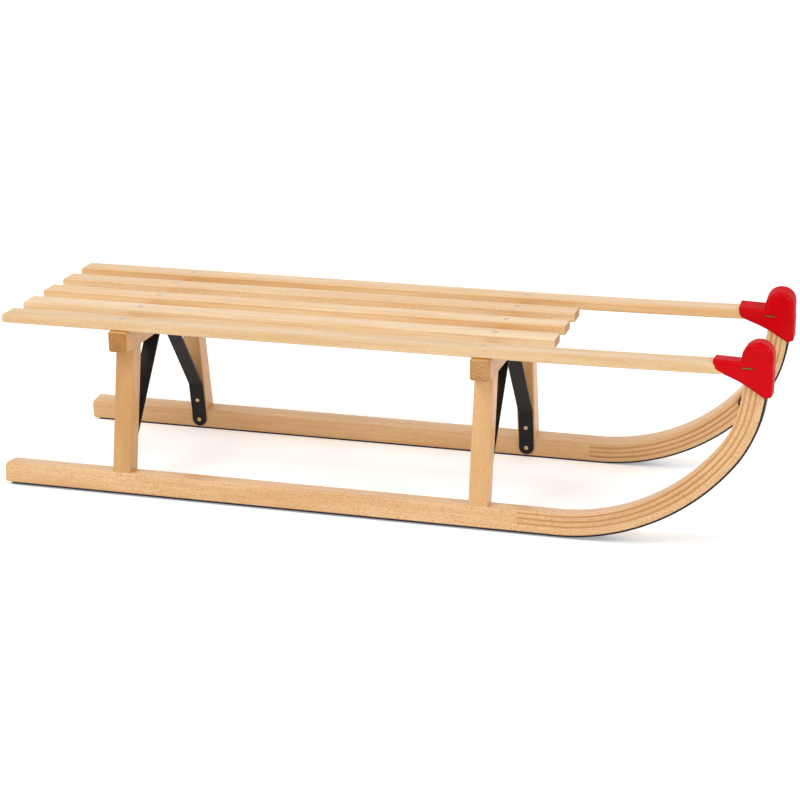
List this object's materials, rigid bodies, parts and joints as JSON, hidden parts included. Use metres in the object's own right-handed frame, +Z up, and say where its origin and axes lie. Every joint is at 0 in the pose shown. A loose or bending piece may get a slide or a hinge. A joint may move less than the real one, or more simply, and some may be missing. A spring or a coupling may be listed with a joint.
{
  "type": "davos sled",
  "caption": "Wooden sled on bent runners with splayed trestle legs, slatted seat, flat steel braces and capped toes.",
  "frame": {"origin": "on the floor under the middle of the sled's bounding box", "axes": "+X forward to the toe caps, +Y to the sled's left, +Z up"},
  "size_m": [1.1, 0.3424, 0.2902],
  "materials": {
    "slat_wood": "clear varnished beech",
    "frame_wood": "clear varnished beech",
    "black_steel": "black lacquered flat steel",
    "sole_steel": "plain steel strip",
    "red_plastic": "moulded red plastic, satin gloss"
  },
  "bodies": {
    "root": {"runner_left": "frame_wood", "runner_right": "frame_wood", "runner_strip_left": "sole_steel", "runner_strip_right": "sole_steel", "leg_rear_left": "frame_wood", "leg_rear_right": "frame_wood", "leg_front_left": "frame_wood", "leg_front_right": "frame_wood", "crossbeam_rear": "frame_wood", "crossbeam_front": "frame_wood", "brace_rear": "black_steel", "brace_front": "black_steel", "slat_outer_left": "slat_wood", "slat_inner_left": "slat_wood", "slat_middle": "slat_wood", "slat_inner_right": "slat_wood", "slat_outer_right": "slat_wood", "toe_cap_left": "red_plastic", "toe_cap_right": "red_plastic", "pull_bar": "black_steel"}
  },
  "joints": []
}
